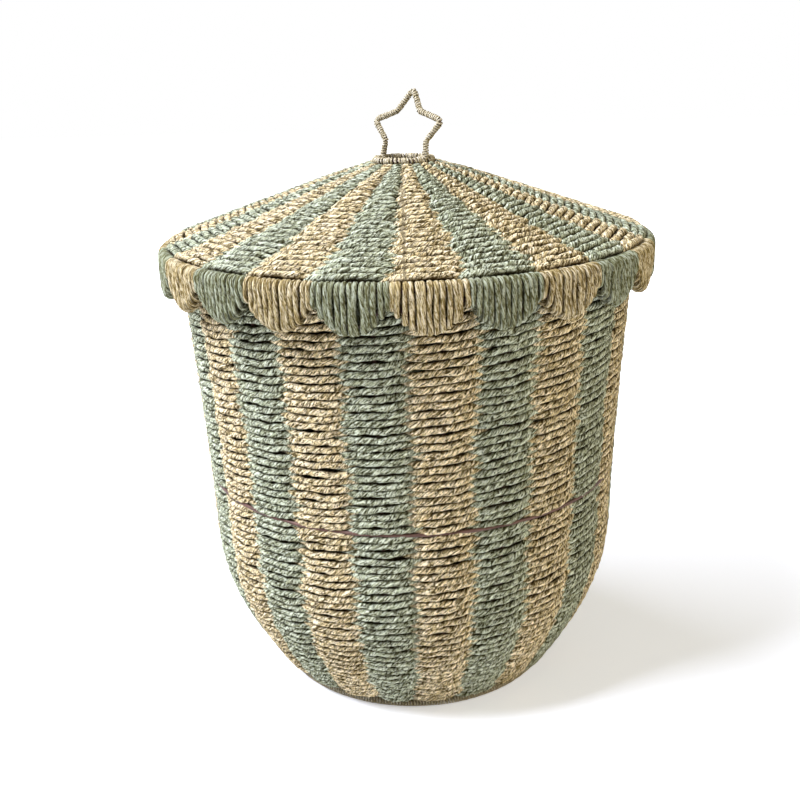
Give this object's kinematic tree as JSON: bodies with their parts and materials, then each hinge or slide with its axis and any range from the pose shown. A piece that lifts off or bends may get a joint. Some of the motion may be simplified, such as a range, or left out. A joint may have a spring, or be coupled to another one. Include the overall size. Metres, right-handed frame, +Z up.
{
  "type": "lidded storage basket",
  "caption": "Round basket of twisted paper rope woven on a wire frame, with a lift-off tent-shaped lid that has wrapped scallops and a wire star as its handle.",
  "frame": {"origin": "centre of the foot's ring, at the level it stands on", "axes": "+Z up the basket's axis, -Y towards the front of the picture, +X to the right"},
  "size_m": [0.4, 0.4, 0.4864],
  "materials": {
    "natural_rope": "matt straw-coloured twisted paper rope",
    "green_rope": "matt sage-green twisted paper rope",
    "wire": "thin satin brown lacquer on iron wire"
  },
  "bodies": {
    "basket": {"body_rib_01": "wire", "body_rib_02": "wire", "body_rib_03": "wire", "body_rib_04": "wire", "body_rib_05": "wire", "body_rib_06": "wire", "body_rib_07": "wire", "body_rib_08": "wire", "body_rib_09": "wire", "body_rib_10": "wire", "body_rib_11": "wire", "body_rib_12": "wire", "body_rib_13": "wire", "body_rib_14": "wire", "body_rib_15": "wire", "body_rib_16": "wire", "body_rib_17": "wire", "body_rib_18": "wire", "body_rib_19": "wire", "body_rib_20": "wire", "body_rib_21": "wire", "body_rib_22": "wire", "body_rib_23": "wire", "body_rib_24": "wire", "rim_hoop": "wire", "rim_wrap": "natural_rope", "middle_hoop": "wire", "base_ring": "wire", "base_ring_wrap": "natural_rope", "body_weave": "natural_rope"},
    "lid": {"scallop_01": "natural_rope", "scallop_02": "green_rope", "scallop_03": "natural_rope", "scallop_04": "green_rope", "scallop_05": "natural_rope", "scallop_06": "green_rope", "scallop_07": "natural_rope", "scallop_08": "green_rope", "scallop_09": "natural_rope", "scallop_10": "green_rope", "scallop_11": "natural_rope", "scallop_12": "green_rope", "scallop_13": "natural_rope", "scallop_14": "green_rope", "scallop_15": "natural_rope", "scallop_16": "green_rope", "scallop_17": "natural_rope", "scallop_18": "green_rope", "scallop_19": "natural_rope", "scallop_20": "green_rope", "scallop_21": "natural_rope", "scallop_22": "green_rope", "scallop_23": "natural_rope", "scallop_24": "green_rope", "scallop_wire": "wire", "lid_frame": "wire", "lid_weave": "natural_rope", "crown_wrap": "natural_rope", "star_wire": "wire", "star_wrap": "natural_rope"}
  },
  "joints": [
    {"name": "lid_lift", "type": "slide", "parent": "basket", "child": "lid", "axis": [0, 0, 1], "range_m": [0, 0.12]}
  ]
}
